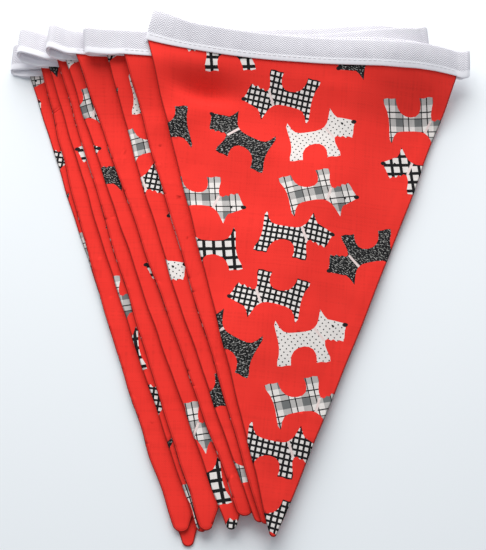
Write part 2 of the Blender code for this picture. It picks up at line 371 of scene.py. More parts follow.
def to_local(flag, points):
    """The way back from plan points of the pile to a flag's own frame."""
    turn = math.radians(flag.turn)
    offset = points + PILE_CENTRE - np.array((flag.across, flag.up))
    x = offset[..., 0] * math.cos(turn) + offset[..., 1] * math.sin(turn)
    y = offset[..., 1] * math.cos(turn) - offset[..., 0] * math.sin(turn)
    return np.stack((x, y), axis=-1)


def turn_at(level, side):
    """The turn that ends a level's tape on one side, or None at the tape's two free ends."""
    opens_here = (level % 2 == 0) == (side == LEFT)
    index = level if opens_here else level - 1
    return index if 0 <= index < len(TURNS) else None


def tape_end(level, side):
    """Where the lower edge of a level's tape ends on one side, in its flag's own frame."""
    flag = FLAGS[level]
    index = turn_at(level, side)
    if index is not None:
        turn = TURNS[index]
        skew = turn.skew / 2 if level > index else -turn.skew / 2
        return to_local(flag, np.array((turn.across, turn.up + skew)) - PILE_CENTRE)
    past = FIRST_END_PAST_FLAG if level == 0 else LAST_END_PAST_FLAG
    rise = flag.rise_left if side == LEFT else flag.rise_right
    return np.array((side * (CORNER + past), rise + past * 2 * rise / (CORNER - RISE_START)))


def tape_edge(level, across):
    """How high the tape's lower edge runs at places across a level."""
    flag = FLAGS[level]
    height = np.zeros_like(across)
    for side, rise in ((LEFT, flag.rise_left), (RIGHT, flag.rise_right)):
        out = side * across
        share = np.clip((out - RISE_START) / (CORNER - RISE_START), 0.0, 1.0)
        slope = 2 * rise / (CORNER - RISE_START)
        end = tape_end(level, side)
        reach = side * end[0] - CORNER
        bend = (end[1] - rise - slope * reach) / (EASED_SHARE * reach)
        past = np.clip(out - CORNER, 0.0, None)
        eased = np.where(past < reach / 2, past ** 2 / reach, past - reach / 4)
        height += rise * share ** 2 + slope * past + bend * eased
    return height


def edge_angle(flag):
    """How far the side edges lean in, so that they run into the round tip."""
    to_tip = flag.drop - flag.tip
    return math.atan2(CORNER, to_tip) - math.asin(flag.tip / math.hypot(CORNER, to_tip))


def layer_height(level, points):
    """What one level's flag and tape add to the height of the layers above it."""
    flag = FLAGS[level]
    place = to_local(flag, points)
    edge = tape_edge(level, place[..., 0])
    down = (edge - place[..., 1]) / (1 + edge / flag.drop)
    aside = np.abs(place[..., 0] + flag.bow * np.sin(np.pi * np.clip(down / flag.drop, 0.0, 1.0)))
    lean = edge_angle(flag)
    past_side = (aside - CORNER) * math.cos(lean) + np.clip(down, 0.0, None) * math.sin(lean)
    past_flag = np.maximum.reduce((past_side, down - flag.drop, -down - TONGUE_DEPTH))
    past_ends = [side * (place[..., 0] - tape_end(level, side)[0]) - TURN_BULGE for side in (LEFT, RIGHT)]
    past_band = np.abs(edge - place[..., 1] + TAPE_WIDTH / 2) - TAPE_WIDTH / 2
    past_tape = np.maximum.reduce((past_band, *past_ends))
    low = FLAG_LAYER * fall_off(past_flag, FLAG_FALL)
    return low + (TAPE_LAYER - low) * fall_off(past_tape, TAPE_FALL)


def turn_height(index, points):
    """What a springy turn of the tape adds to the height of the layers above it."""
    turn = TURNS[index]
    middle = np.array((turn.across, turn.up + TAPE_WIDTH / 2)) - PILE_CENTRE
    distance = np.linalg.norm(points - middle, axis=-1) - TURN_RADIUS
    return turn.plump * fall_off(distance, TURN_FALL)


def puff_height(level, points):
    """How far the soft rises lift a level, more for each level up."""
    height = np.zeros(points.shape[:-1])
    for puff in PUFFS:
        turn = math.radians(puff.turn)
        offset = points - np.array((puff.across, puff.up))
        along = (offset[..., 0] * math.cos(turn) + offset[..., 1] * math.sin(turn)) / puff.long
        aside = (offset[..., 1] * math.cos(turn) - offset[..., 0] * math.sin(turn)) / puff.wide
        height += puff.rise * np.exp(-along ** 2 - aside ** 2)
    return height * level / TOP


def base_height(level, points):
    """The underside of a level at plan points: all that lies below it there."""
    height = puff_height(level, points)
    for below in range(level):
        height += layer_height(below, points) + turn_height(below, points)
    return height


def tape_width_way(level, across):
    """The plan directions over the tape's width, away from the flags, at places across a level."""
    rise = tape_edge(level, across + SLOPE_STEP) - tape_edge(level, across - SLOPE_STEP)
    turn = math.radians(FLAGS[level].turn)
    along = unit(np.stack((np.full_like(rise, 2 * SLOPE_STEP), rise), axis=-1))
    x = along[..., 0] * math.cos(turn) - along[..., 1] * math.sin(turn)
    y = along[..., 0] * math.sin(turn) + along[..., 1] * math.cos(turn)
    return np.stack((-y, x), axis=-1)


# Plan and outline of a flag

def waver(places, seed, shortest, longest):
    """A smooth uneven line or field, about one high and one deep, the same on each run."""
    draw = np.random.default_rng(seed)
    places = np.atleast_2d(places.T).T
    total = np.zeros(places.shape[:-1])
    for _ in range(WAVES):
        way = unit(draw.normal(size=places.shape[-1]))
        length = draw.uniform(shortest, longest)
        total += np.sin(places @ way * (2 * math.pi / length) + draw.uniform(0, 2 * math.pi))
    return total / math.sqrt(WAVES)


def lay_flag(level, cloth):
    """Plan points of the pile from cloth points (across, down), where the flag lies."""
    flag = FLAGS[level]
    across, down = cloth[..., 0], cloth[..., 1]
    share = np.clip(down / flag.drop, 0.0, 1.0)
    half = np.maximum(CORNER * (1 - share), flag.tip)
    side = np.clip(across / half, -1.0, 1.0)
    for sign in (LEFT, RIGHT):
        uneven = waver(down, EDGE_SEEDS * level + sign + 1, *EDGE_WAVES)
        uneven = uneven * np.clip(down / EDGE_WAVER_GROWS, 0.0, 1.0)
        across = across + EDGE_WAVER * uneven * np.clip(sign * side, 0.0, 1.0) ** 2
    across = across - flag.bow * np.sin(np.pi * share)
    edge = tape_edge(level, across)
    up = edge * (1 - share) - np.clip(down, 0.0, None)
    tucked = np.clip(-down, 0.0, None)[..., None]
    return to_world(flag, np.stack((across, up), axis=-1)) + tucked * tape_width_way(level, across)


def inset_outline(flag, inset, step):
    """The flag's outline drawn in by a distance, as cloth points, down its right side and up its left."""
    lean = edge_angle(flag)
    top = inset - TONGUE_DEPTH
    shoulder = -inset * math.tan(lean / 2)
    radius = flag.tip - inset
    right = [(CORNER - inset, top), (CORNER - inset, shoulder)]
    if radius > 0:
        for angle in np.linspace(lean, math.pi / 2, TIP_STEPS):
            right.append((radius * math.cos(angle), flag.drop - flag.tip + radius * math.sin(angle)))
    else:
        right.append((0.0, (CORNER * math.cos(lean) - inset) / math.sin(lean)))
    corners = [(-x, y) for x, y in right if x > ON_LINE][::-1]
    corners = np.array(right + corners)
    points = []
    for start, end in zip(corners, np.roll(corners, -1, axis=0)):
        count = max(1, round(np.linalg.norm(end - start) / step))
        points += [start + (end - start) * i / count for i in range(count)]
    return np.array(points)


def edge_distance(flag, cloth):
    """How far cloth points are inside the flag's outline."""
    lean = edge_angle(flag)
    aside, down = np.abs(cloth[..., 0]), cloth[..., 1]
    side = (CORNER - aside) * math.cos(lean) - down * math.sin(lean)
    side = np.minimum(side, CORNER - aside)
    past = down - (flag.drop - flag.tip)
    on_tip = past * math.cos(lean) > aside * math.sin(lean)
    side = np.where(on_tip, flag.tip - np.hypot(aside, past), side)
    return np.minimum(side, down + TONGUE_DEPTH)


def turned(points, degrees, faces, place):
    """Charted points of a terrier, set on the cloth."""
    angle = math.radians(degrees)
    x, y = points[:, 0] * (-faces), -points[:, 1]
    across = x * math.cos(angle) - y * math.sin(angle)
    down = x * math.sin(angle) + y * math.cos(angle)
    return np.stack((across, down), axis=-1) + place


def dot_outline(dot):
    x, y, half_long, half_wide = dot
    angles = np.linspace(0, 2 * math.pi, DOT_SIDES, endpoint=False)
    return np.stack((x + half_long * np.cos(angles), y + half_wide * np.sin(angles)), axis=-1)


def print_motifs(flag, offset):
    """The terriers that fall on a flag: each shape's outline on the cloth, its fill, stamp and place."""
    motifs = []
    for column in REPEAT_COLUMNS:
        for row in REPEAT_ROWS:
            for stamp in REPEAT:
                across = stamp.across + column * REPEAT_ACROSS + offset.across
                down = stamp.down + row * REPEAT_DOWN + column * REPEAT_DOWN / 2 + offset.down
                place = np.array((across, down))
                shapes = ((stamp.fill, np.array(TERRIER)), ("collar", np.array(COLLAR)),
                          ("black", dot_outline(NOSE)), ("black", dot_outline(EYE)))
                outline = turned(shapes[0][1], stamp.turn, stamp.faces, place)
                if edge_distance(flag, outline).max() < LEAST_ON_FLAG:
                    continue
                for fill, shape in shapes:
                    motifs.append((turned(shape, stamp.turn, stamp.faces, place), fill, stamp, place))
    return motifs


def cloth_net(level, step, motifs):
    """Triangles over a flag in its cloth plan, cut along the print, and the motif each one belongs to."""
    flag = FLAGS[level]
    rim = inset_outline(flag, 0.0, EDGE_STEP)
    points = [rim]
    loops = [list(range(len(rim)))]
    count = len(rim)
    for outline, _, _, _ in motifs:
        points.append(outline)
        x, y = outline.T
        way = 1 if np.sum(x * np.roll(y, -1) - y * np.roll(x, -1)) > 0 else -1
        loops.append(list(range(count, count + len(outline)))[::way])
        count += len(outline)
    for inset in EDGE_RINGS:
        points.append(inset_outline(flag, inset, EDGE_STEP))
    down = np.arange(-TONGUE_DEPTH + step, flag.drop, step * ROW_SHARE)
    across = np.arange(-CORNER, CORNER, step)
    grid = np.array([(x + (i % 2) * step / 2, y) for i, y in enumerate(down) for x in across])
    points.append(grid[edge_distance(flag, grid) > EDGE_RINGS[-1] + step / 3])
    places = np.concatenate(points)
    net = delaunay_2d_cdt([tuple(p) for p in places], [], loops, CUT_INSIDE, CUT_TOLERANCE, True)
    verts, _, faces, _, _, owners = net
    verts = np.array([tuple(v) for v in verts])
    corners, motif = [], []
    for face, owner in zip(faces, owners):
        if 0 in owner:
            corners.append(face)
            motif.append(max(owner) - 1)
    used, corners = np.unique(np.array(corners), return_inverse=True)
    return verts[used], corners.reshape(-1, 3), np.array(motif)


# Materials

class Dye:
    """Builds one material's nodes. A number is set on the socket itself and a socket is joined to it."""

    def __init__(self, name, roughness, sheen=0.0):
        self.material = bpy.data.materials.new(name)
        self.material.use_nodes = True
        self.tree = self.material.node_tree
        self.shader = self.tree.nodes["Principled BSDF"]
        self.shader.inputs["Roughness"].default_value = roughness
        self.shader.inputs["Specular IOR Level"].default_value = SPECULAR
        self.shader.inputs["Sheen Weight"].default_value = sheen

    def put(self, socket, value):
        if isinstance(value, bpy.types.NodeSocket):
            self.tree.links.new(value, socket)
        else:
            socket.default_value = value

    def math(self, operation, *values):
        node = self.tree.nodes.new("ShaderNodeMath")
        node.operation = operation
        for socket, value in zip(node.inputs, values):
            self.put(socket, value)
        return node.outputs[0]

    def mix(self, share, first, second):
        node = self.tree.nodes.new("ShaderNodeMix")
        node.data_type = "RGBA"
        for index, value in zip(MIX_SOCKETS, (share, first, second)):
            self.put(node.inputs[index], value)
        return node.outputs[2]

    def place(self, layer):
        """The two coordinates of a UV map, in millimetres."""
        node = self.tree.nodes.new("ShaderNodeUVMap")
        node.uv_map = layer
        split = self.tree.nodes.new("ShaderNodeSeparateXYZ")
        self.put(split.inputs[0], node.outputs[0])
        return split.outputs[0], split.outputs[1]

    def noise(self, x, y, scale, detail=2.0):
        node = self.tree.nodes.new("ShaderNodeTexNoise")
        join = self.tree.nodes.new("ShaderNodeCombineXYZ")
        self.put(join.inputs[0], x)
        self.put(join.inputs[1], y)
        self.put(node.inputs["Vector"], join.outputs[0])
        node.inputs["Scale"].default_value = scale
        node.inputs["Detail"].default_value = detail
        return node.outputs["Fac"]

    def band(self, value, low, high):
        """Nothing under low and one over high, eased between."""
        node = self.tree.nodes.new("ShaderNodeMapRange")
        node.interpolation_type = "SMOOTHSTEP"
        for name, number in (("Value", value), ("From Min", low), ("From Max", high)):
            self.put(node.inputs[name], number)
        return node.outputs[0]

    def bump(self, height, strength, distance):
        node = self.tree.nodes.new("ShaderNodeBump")
        node.inputs["Strength"].default_value = strength
        node.inputs["Distance"].default_value = distance
        self.put(node.inputs["Height"], height)
        self.put(self.shader.inputs["Normal"], node.outputs[0])

    def colour(self, value):
        self.put(self.shader.inputs["Base Color"], value)


def plain_weave(dye):
    """Threads over and under one another, and uneven streaks where a thread is thicker. Returns both."""
    x, y = dye.place("cloth")
    wave_x = dye.math("SINE", dye.math("MULTIPLY", x, math.pi / THREAD_PITCH))
    wave_y = dye.math("SINE", dye.math("MULTIPLY", y, math.pi / THREAD_PITCH))
    weave = dye.math("MULTIPLY", wave_x, wave_y)
    weft = dye.noise(dye.math("MULTIPLY", x, STREAK_STRETCH), y, STREAK_SCALE)
    warp = dye.noise(x, dye.math("MULTIPLY", y, STREAK_STRETCH), STREAK_SCALE)
    streak = dye.math("ADD", weft, warp)
    return weave, streak


def print_dye(name, pattern):
    """A cotton material whose colour comes from a pattern in the terrier's own plan."""
    dye = Dye(name, COTTON_ROUGHNESS, COTTON_SHEEN)
    weave, streak = plain_weave(dye)
    x, y = dye.place("print")
    colour = pattern(dye, x, y)
    # Painted shade: the colour darkens towards the flag's very edge, standing in for the shadow between one
    # flag and the next.
    inside, plain_side = dye.place("seam")
    edge = dye.band(inside, 0.0, EDGE_PAINTED_SHADE_WIDTH)
    # Painted shade in the seam line's groove on the plain ply.
    beside_line = dye.math("ABSOLUTE", dye.math("SUBTRACT", inside, SEAM_LINE))
    past_line = dye.band(beside_line, SEAM_LINE_CORE, SEAM_LINE_WIDTH)
    line = dye.math("MULTIPLY", plain_side, dye.math("SUBTRACT", 1.0, past_line))
    kept = dye.math("MULTIPLY", dye.math("MULTIPLY_ADD", edge, 1 - EDGE_PAINTED_SHADE, EDGE_PAINTED_SHADE),
                    dye.math("MULTIPLY_ADD", line, -SEAM_LINE_SHADE, 1.0))
    # The painted shade, multiplied by the thread's own uneven streaks.
    painted_shade_and_streaks = dye.math("MULTIPLY", kept, dye.math("MULTIPLY_ADD", streak, STREAK_SHARE, 1 - STREAK_SHARE))
    dye.colour(dye.mix(painted_shade_and_streaks, SHADE_BLACK, colour))
    dye.bump(dye.math("ADD", weave, streak), WEAVE_BUMP, WEAVE_DEPTH)
    return dye.material


def bars(dye, place, pitch, bar):
    """One on the bars of a stripe, nothing between them."""
    away = dye.math("PINGPONG", place, pitch / 2)
    return dye.math("LESS_THAN", away, bar / 2)


def ground_pattern(dye, x, y):
    return dye.mix(dye.noise(x, y, GROUND_SCALE), RED, RED_SHADE)


def gingham_pattern(dye, x, y, pitch=GINGHAM_PITCH, bar=GINGHAM_BAR):
    dark = dye.math("MAXIMUM", bars(dye, x, pitch, bar), bars(dye, y, pitch, bar))
    return dye.mix(dark, PRINT_WHITE, PRINT_BLACK)


def small_check_pattern(dye, x, y):
    return gingham_pattern(dye, x, y, CHECK_PITCH, CHECK_BAR)


def plaid_pattern(dye, x, y):
    bands = dye.math("ADD", bars(dye, x, PLAID_PITCH, PLAID_BAND), bars(dye, y, PLAID_PITCH, PLAID_BAND))
    grey = dye.mix(dye.math("MULTIPLY", bands, 0.5), PRINT_WHITE, PRINT_GREY)
    lines = [bars(dye, dye.math("ADD", place, shift), PLAID_PITCH, width)
             for shift, width in PLAID_LINES for place in (x, y)]
    dark = lines[0]
    for line in lines[1:]:
        dark = dye.math("MAXIMUM", dark, line)
    return dye.mix(dark, grey, PRINT_BLACK)


def pin_dot_pattern(dye, x, y):
    near = []
    for shift in (0.0, DOT_PITCH / 2):
        dx = dye.math("PINGPONG", dye.math("ADD", x, shift), DOT_PITCH / 2)
        dy = dye.math("PINGPONG", dye.math("ADD", y, shift), DOT_PITCH / 2)
        near.append(dye.math("SQRT", dye.math("ADD", dye.math("POWER", dx, 2.0), dye.math("POWER", dy, 2.0))))
    dot = dye.math("LESS_THAN", dye.math("MINIMUM", near[0], near[1]), DOT_RADIUS)
    return dye.mix(dot, PRINT_WHITE, PRINT_BLACK)


def tweed_pattern(dye, x, y):
    along = dye.math("MULTIPLY", dye.math("ADD", x, y), TWEED_ALONG)
    aside = dye.math("MULTIPLY", dye.math("SUBTRACT", x, y), TWEED_ASIDE)
    fleck = dye.noise(along, aside, TWEED_SCALE, detail=1.0)
    return dye.mix(dye.band(fleck, *TWEED_LEVELS), PRINT_BLACK, PRINT_FLECK)


def black_pattern(dye, x, y):
    return dye.mix(dye.noise(x, y, SOOT_SCALE), PRINT_BLACK, PRINT_SOOT)


def collar_pattern(dye, x, y):
    return dye.mix(dye.noise(x, y, COLLAR_SCALE), COLLAR_PINK, PRINT_WHITE)


def herringbone_dye():
    """White tape: zigzag ribs along its length, painted shade in the hollows between them, mottled at random,
    and a smooth band at each woven edge.
    """
    dye = Dye("herringbone_tape", TAPE_ROUGHNESS, TAPE_SHEEN)
    along, over = dye.place("tape")
    zigzag = dye.math("MULTIPLY", dye.math("PINGPONG", along, ZIGZAG_WIDTH), ZIGZAG_SLOPE)
    rib = dye.math("SINE", dye.math("MULTIPLY", dye.math("ADD", over, zigzag), 2 * math.pi / RIB_PITCH))
    from_edge = dye.math("PINGPONG", over, TAPE_STRIP / 2)
    inside = dye.band(from_edge, *WOVEN_EDGE)
    ribs = dye.math("MULTIPLY", rib, inside)
    cloud = dye.noise(along, over, CLOUD_SCALE)
    # Painted shade, deepest in the hollows between the ribs and none on the smooth edges.
    hollow_shade = dye.math("MULTIPLY", inside, dye.math("MULTIPLY_ADD", rib, HOLLOW_BY_RIB, HOLLOW_LEVEL))
    shade = dye.math("MULTIPLY", hollow_shade, dye.math("ADD", cloud, CLOUD_LEVEL))
    dye.colour(dye.mix(shade, TAPE_WHITE, TAPE_HOLLOW_SHADE))
    dye.bump(ribs, RIB_BUMP, RIB_DEPTH)
    return dye.material


def plain_dye(name, colour, roughness):
    dye = Dye(name, roughness)
    dye.shader.inputs["Base Color"].default_value = colour
    return dye.material


def thread_dye():
    """White sewing cotton with a faint twist, coloured in the pile's own plan."""
    dye = Dye("sewing_thread", THREAD_ROUGHNESS, THREAD_SHEEN)
    place = dye.tree.nodes.new("ShaderNodeTexCoord").outputs["Object"]
    twist = dye.tree.nodes.new("ShaderNodeTexNoise")
    dye.put(twist.inputs["Vector"], place)
    twist.inputs["Scale"].default_value = THREAD_TWIST
    dye.colour(dye.mix(twist.outputs["Fac"], THREAD_SHADE, THREAD_WHITE))
    return dye.material


# Flags

def new_piece(name, vertices, faces, materials, face_materials=None):
    """A smooth object of the pile from points in millimetres."""
    mesh = bpy.data.meshes.new(name)
    mesh.from_pydata((vertices * MM).tolist(), [], [list(map(int, face)) for face in faces])
    for material in materials:
        mesh.materials.append(material)
    if face_materials is not None:
        mesh.polygons.foreach_set("material_index", np.asarray(face_materials, dtype=np.int32))
    mesh.update()
    mesh.shade_smooth()
    piece = bpy.data.objects.new(name, mesh)
    bpy.context.collection.objects.link(piece)
    return piece


def add_map(piece, name, places):
    """A UV map from one pair of numbers for each face corner."""
    layer = piece.data.uv_layers.new(name=name)
    layer.data.foreach_set("uv", np.ascontiguousarray(places, dtype=np.float32).ravel())


def charted(places, stamp, spot):
    """Cloth points in the chart of the terrier they belong to."""
    angle = math.radians(stamp.turn)
    offset = places - spot
    x = offset[:, 0] * math.cos(angle) + offset[:, 1] * math.sin(angle)
    y = offset[:, 1] * math.cos(angle) - offset[:, 0] * math.sin(angle)
    return np.stack((x * (-stamp.faces), -y), axis=-1)


def print_places(cloth, corners, motif, motifs):
    """Where each face corner lies in its terrier's chart, or on the cloth for the red ground."""
    places = cloth[corners.ravel()]
    owner = np.repeat(motif, 3)
    for index in np.unique(owner[owner >= 0]):
        _, _, stamp, spot = motifs[index]
        mine = owner == index
        places[mine] = charted(places[mine], stamp, spot)
    return places


def flag_heights(level, cloth, plan):
    """The lower and upper face of a flag, rounded over at its edge."""
    flag = FLAGS[level]
    inside = edge_distance(flag, cloth)
    down = cloth[:, 1]
    tongue = fall_off(down - TONGUE_ENDS, TONGUE_BLEND)
    seam = fall_off(inside - SEAM_WIDTH, SEAM_BLEND)
    thick = MIDDLE_THICK + (SEAM_THICK - MIDDLE_THICK) * seam
    thick = thick + tongue * (TONGUE_THICK - thick)
    line = SEAM_LINE_DEPTH * np.exp(-((inside - SEAM_LINE) / SEAM_LINE_WIDTH) ** 2) * (1 - tongue)
    round_over = np.sqrt(1 - (1 - np.clip(inside / EDGE_ROUND, 0.0, 1.0)) ** 2)
    loose = LOOSE_ON_TOP if level == TOP else LOOSE_BELOW
    fine = FINE_SHARE * loose * waver(plan, FINE_SEED + level, *FINE_WAVES)
    soft = loose * waver(plan, SOFT_SEED + level, *SOFT_WAVES) + fine
    soft = soft + (loose - LOOSE_BELOW)
    pucker = waver(down, PUCKER_SEED + level, *PUCKER_WAVES) * PUCKER_HEIGHT * fall_off(inside, PUCKER_WIDTH)
    lift = (soft + pucker) * (1 - tongue)
    under = base_height(level, plan) + tongue * (TAPE_PLY + CLEAR) + np.maximum(lift, LEAST_LIFT)
    if level == 0:
        under = np.maximum(under, LOWEST)
    middle = under + thick / 2
    low, high = middle - thick / 2 * round_over, middle + thick / 2 * round_over
    return (low + line, high) if level % 2 == 0 else (low, high - line)


def make_flag(level, cotton):
    """One flag: a printed ply and a plain one, joined along the seams. Every second flag lies face down."""
    flag = FLAGS[level]
    motifs = print_motifs(flag, PRINT_OFFSETS[level])
    cloth, corners, motif = cloth_net(level, TOP_STEP if level == TOP else UNDER_STEP, motifs)
    plan = lay_flag(level, cloth)
    low, high = flag_heights(level, cloth, plan)
    on_rim = edge_distance(flag, cloth) < ON_LINE
    below = np.arange(len(cloth))
    inner = np.flatnonzero(~on_rim)
    below[inner] = len(cloth) + np.arange(len(inner))
    vertices = np.concatenate((np.column_stack((plan, high)), np.column_stack((plan, low))[inner]))
    a, b, c = (plan[corners[:, i]] for i in range(3))
    facing = (b[:, 0] - a[:, 0]) * (c[:, 1] - a[:, 1]) - (b[:, 1] - a[:, 1]) * (c[:, 0] - a[:, 0])
    corners = np.where((facing < 0)[:, None], corners[:, ::-1], corners)
    faces = np.concatenate((corners, below[corners[:, ::-1]]))
    rolled = np.where(edge_distance(flag, cloth[corners].mean(axis=1)) < SEAM_ROLL, motif, -1)
    motif = np.concatenate((motif, rolled) if level % 2 == 0 else (rolled, motif))
    fills = np.array([0] + [FILLS.index(entry[1]) for entry in motifs])[motif + 1]
    piece = new_piece(f"printed_flag_{level + 1}", vertices, faces, cotton, fills)
    both = np.concatenate((corners, corners[:, ::-1]))
    add_map(piece, "cloth", cloth[both.ravel()])
    plain = np.repeat((1.0, 0.0) if level % 2 else (0.0, 1.0), corners.size)
    add_map(piece, "seam", np.column_stack((edge_distance(flag, cloth[both.ravel()]), plain)))
    add_map(piece, "print", print_places(cloth, both, motif, motifs))
    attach(piece, "root")
    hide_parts(f"flag_{level + 1}")


# Tape

def tape_section(slot):
    """The folded tape's section: a ring of width and height, and how far over the strip each point is."""
    thick = 2 * TAPE_PLY + slot
    radius = (thick - TAPE_PLY) / 2
    fold = TAPE_WIDTH - TAPE_PLY / 2 - radius
    centre = [(w, TAPE_PLY / 2, -math.pi / 2) for w in np.linspace(0.0, fold, PLY_STEPS)]
    for angle in np.linspace(-math.pi / 2, math.pi / 2, FOLD_STEPS)[1:-1]:
        centre.append((fold + radius * math.cos(angle), thick / 2 + radius * math.sin(angle), angle))
    centre += [(w, thick - TAPE_PLY / 2, math.pi / 2) for w in np.linspace(fold, 0.0, PLY_STEPS)]
    centre = np.array(centre)
    way = np.stack((np.cos(centre[:, 2]), np.sin(centre[:, 2])), axis=-1) * TAPE_PLY / 2
    line = centre[:, :2]
    over = np.concatenate(([0.0], np.cumsum(np.linalg.norm(np.diff(line, axis=0), axis=1))))
    over *= TAPE_STRIP / over[-1]
    caps = np.linspace(math.pi / 2, -math.pi / 2, CAP_STEPS + 2)[1:-1]
    upper = [line[-1] + TAPE_PLY / 2 * np.array((-math.cos(a), math.sin(a))) for a in caps]
    lower = [line[0] + TAPE_PLY / 2 * np.array((-math.cos(a), math.sin(a))) for a in caps]
    ring = np.concatenate((line + way, upper, (line - way)[::-1], lower))
    crown = CROWN * np.sin(np.pi * np.clip(ring[:, 0] / TAPE_WIDTH, 0.0, 1.0)) * (ring[:, 1] > thick / 2)
    ring[:, 1] += crown
    places = np.concatenate((over, np.full(CAP_STEPS, over[-1]), over[::-1], np.zeros(CAP_STEPS)))
    return ring, places, thick


def turn_way(index, side):
    """The plan direction in which both levels' tape runs out into a turn."""
    total = np.zeros(2)
    for level in (index, index + 1):
        way = tape_width_way(level, np.array(tape_end(level, side)[0] - side))
        total += np.array((way[1], -way[0]))
    return unit(total) * side


def tape_stations(level):
    """Places across a level from left to right, each with its share of the way to a turn and its side."""
    left, right = tape_end(level, LEFT)[0], tape_end(level, RIGHT)[0]
    spans = ((left, -CORNER, END_STEP), (-CORNER, CORNER, STATION_STEP), (CORNER, right, END_STEP))
    places = [np.linspace(start, end, round((end - start) / gap), endpoint=False)
              for start, end, gap in spans]
    stations = []
    for across in (*np.concatenate(places), right):
        side = RIGHT if across > 0 else LEFT
        end = right if across > 0 else left
        step = np.clip((abs(across) - CORNER) / (abs(end) - CORNER), 0.0, 1.0)
        stations.append((across, step, side))
    return stations


def top_lie(level, across):
    """How much wider the tape lies, and how far its fold is lifted, at a place across a level."""
    if level == TOP - 2:
        return 1.0, LEAN_ASIDE * (1 - fall_off(across - LEAN_ASIDE_FROM, CORNER - LEAN_ASIDE_FROM))
    if level < TOP:
        return 1.0, LEAN_BEHIND if level == TOP - 1 else 0.0
    from_end = across - tape_end(TOP, LEFT)[0]
    return 1 + SPLAY * fall_off(from_end, SPLAY_LENGTH), LEAN + LEAN_AT_END * fall_off(from_end, LEAN_LENGTH)


def pushed(level, side, across, step):
    """How far the tape is pushed over its width, and lifted, at a place across a level."""
    if (level, side) not in PUSHES:
        return 0.0, 0.0
    push = PUSHES[level, side]
    step = 1 - fall_off(step, 1.0)
    on_flag = 1 - fall_off(abs(across) - push.starts, max(CORNER - push.starts, SLOPE_STEP))
    return push.over * on_flag + push.over_turn * step, push.lift_turn * step


def level_rows(level):
    """The tape's sections along one level, in the order in which the tape runs."""
    flag = FLAGS[level]
    rows = []
    for across, step, side in tape_stations(level):
        past = abs(across) - CORNER - LAST_END_PAST_FLAG
        index = turn_at(level, side)
        closing = fall_off(past, SLOT_CLOSES_OVER) if index is not None else 1.0
        ring, _, thick = tape_section(CLOSED_SLOT + (TAPE_SLOT - CLOSED_SLOT) * closing)
        width = tape_width_way(level, np.clip(across, -CORNER, CORNER))
        over_width = ring[:, 0] / TAPE_WIDTH
        drawn, droop = 0.0, 0.0
        if index is not None:
            out = turn_way(index, side)
            square = np.array((-out[1], out[0])) * side
            width = unit(width * (1 - step) + square * step)
            pull = PULLS[index]
            drawn = out * (step * (pull.edge * (1 - over_width) + pull.fold * over_width))[:, None]
            droop = pull.droop * step * (1 - over_width) * (level > index)
        spread, lift = top_lie(level, across)
        over, lifted = pushed(level, side, across, step)
        edge = to_world(flag, np.array((across, tape_edge(level, np.array(across))))) + width * over
        plan = edge + ring[:, :1] * width * spread - drawn
        height = ring[:, 1] if level % 2 == 0 else thick - ring[:, 1]
        height = height + lifted + lift * over_width - droop
        rows.append(np.column_stack((plan, base_height(level, plan) + height)))
    return rows if level % 2 else rows[::-1]


def turn_rows(index, before, after):
    """The tape's sections round a turn, between the last one of a level and the first one of the next."""
    side = LEFT if index % 2 == 0 else RIGHT
    out = turn_way(index, side)
    centre = (before[:, 2] + after[:, 2]) / 2
    radius = centre - before[:, 2]
    rows = []
    for angle in np.linspace(0.0, math.pi, TURN_STEPS + 2)[1:-1]:
        share = (1 - math.cos(angle)) / 2
        plan = before[:, :2] * (1 - share) + after[:, :2] * share + out * (radius * math.sin(angle))[:, None]
        rows.append(np.column_stack((plan, centre - radius * math.cos(angle))))
    return rows


def make_tape(herringbone):
    """The whole tape as one folded strip, from its lowest end to the top one."""
    rows = level_rows(0)
    for level in range(1, len(FLAGS)):
        following = level_rows(level)
        rows += turn_rows(level - 1, rows[-1], following[0]) + following
    rows = np.array(rows)
    _, over, _ = tape_section(TAPE_SLOT)
    count, around = rows.shape[:2]
    middle = rows.mean(axis=1)
    along = np.concatenate(([0.0], np.cumsum(np.linalg.norm(np.diff(middle, axis=0), axis=1))))
    index = np.arange(count * around).reshape(count, around)
    beside = np.roll(index, -1, axis=1)
    quads = np.stack((index[:-1], beside[:-1], beside[1:], index[1:]), axis=-1).reshape(-1, 4)
    ply = (around - 2 * CAP_STEPS) // 2
    faces = [list(quad) for quad in quads]
    for row, outward in ((0, False), (count - 1, True)):
        ring = index[row]
        last = 2 * ply + CAP_STEPS - 1
        closing = [[ring[i], ring[i + 1], ring[last - 1 - i], ring[last - i]] for i in range(ply - 1)]
        closing.append([ring[i] for i in range(ply - 1, ply + CAP_STEPS + 1)])
        closing.append([*ring[-CAP_STEPS - 1:], ring[0]])
        faces += [face[::-1] for face in closing] if not outward else closing
    tape = new_piece("herringbone_tape", rows.reshape(-1, 3), faces, [herringbone])
    loops = np.array([loop.vertex_index for loop in tape.data.loops])
    add_map(tape, "tape", np.column_stack((along[loops // around], over[loops % around])))
    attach(tape, "root")
    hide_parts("tape")


# The row of stitches that closes the tape over each flag

